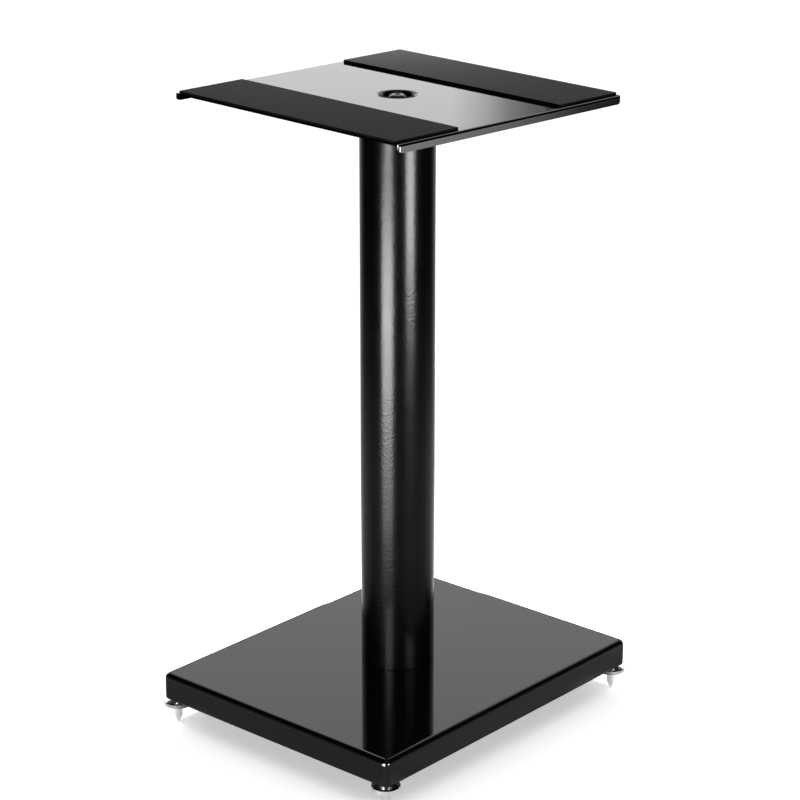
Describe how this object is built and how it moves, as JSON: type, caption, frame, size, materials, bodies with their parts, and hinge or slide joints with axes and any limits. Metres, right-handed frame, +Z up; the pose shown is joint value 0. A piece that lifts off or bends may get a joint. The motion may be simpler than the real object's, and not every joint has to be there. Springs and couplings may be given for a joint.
{
  "type": "speaker stand",
  "caption": "Floor stand for a bookshelf speaker: a low folded base pan on spikes, one round column and a padded top plate that turns on its centre screw.",
  "frame": {"origin": "on the floor, under the middle of the base and on the column's axis", "axes": "+Z up along the column, +X to the right along the foam strips, front at -Y"},
  "size_m": [0.3116, 0.363, 0.61],
  "materials": {
    "gloss_black": "gloss black powder coat",
    "satin_black": "satin black powder coat with slight orange peel",
    "foam": "matt closed-cell foam",
    "chrome": "polished chrome",
    "zinc_steel": "bright zinc",
    "raw_steel": "turned steel",
    "black_screw": "black oxide"
  },
  "bodies": {
    "base": {"base_pan": "gloss_black", "base_reinforcement": "zinc_steel", "column_tube": "satin_black", "column_foot_disc": "raw_steel", "column_bolts": "zinc_steel", "column_bolt_washers": "zinc_steel", "column_spring_washers": "zinc_steel", "column_cap": "satin_black", "cap_nut": "zinc_steel", "plate_screw": "black_screw", "spike_inserts": "black_screw"},
    "plate": {"top_plate": "gloss_black", "front_pad": "foam", "rear_pad": "foam"},
    "spike_front_left": {"spike_front_left": "chrome"},
    "lock_disc_front_left": {"lock_disc_front_left": "chrome"},
    "spike_rear_left": {"spike_rear_left": "chrome"},
    "lock_disc_rear_left": {"lock_disc_rear_left": "chrome"},
    "spike_rear_right": {"spike_rear_right": "chrome"},
    "lock_disc_rear_right": {"lock_disc_rear_right": "chrome"},
    "spike_front_right": {"spike_front_right": "chrome"},
    "lock_disc_front_right": {"lock_disc_front_right": "chrome"}
  },
  "joints": [
    {"name": "plate_swivel", "type": "hinge", "parent": "base", "child": "plate", "pos_m": [0, 0, 0.606], "axis": [0, 0, 1], "continuous": true},
    {"name": "spike_height_front_left", "type": "slide", "parent": "base", "child": "spike_front_left", "axis": [0, 0, 1], "range_m": [-0.01, 0.004]},
    {"name": "lock_disc_turn_front_left", "type": "hinge", "parent": "base", "child": "lock_disc_front_left", "pos_m": [-0.1335, -0.168, 0.0222], "axis": [0, 0, 1], "continuous": true},
    {"name": "spike_height_rear_left", "type": "slide", "parent": "base", "child": "spike_rear_left", "axis": [0, 0, 1], "range_m": [-0.01, 0.004]},
    {"name": "lock_disc_turn_rear_left", "type": "hinge", "parent": "base", "child": "lock_disc_rear_left", "pos_m": [-0.1335, 0.168, 0.0222], "axis": [0, 0, 1], "continuous": true},
    {"name": "spike_height_rear_right", "type": "slide", "parent": "base", "child": "spike_rear_right", "axis": [0, 0, 1], "range_m": [-0.01, 0.004]},
    {"name": "lock_disc_turn_rear_right", "type": "hinge", "parent": "base", "child": "lock_disc_rear_right", "pos_m": [0.1335, 0.168, 0.0222], "axis": [0, 0, 1], "continuous": true},
    {"name": "spike_height_front_right", "type": "slide", "parent": "base", "child": "spike_front_right", "axis": [0, 0, 1], "range_m": [-0.01, 0.004]},
    {"name": "lock_disc_turn_front_right", "type": "hinge", "parent": "base", "child": "lock_disc_front_right", "pos_m": [0.1335, -0.168, 0.0222], "axis": [0, 0, 1], "continuous": true}
  ]
}
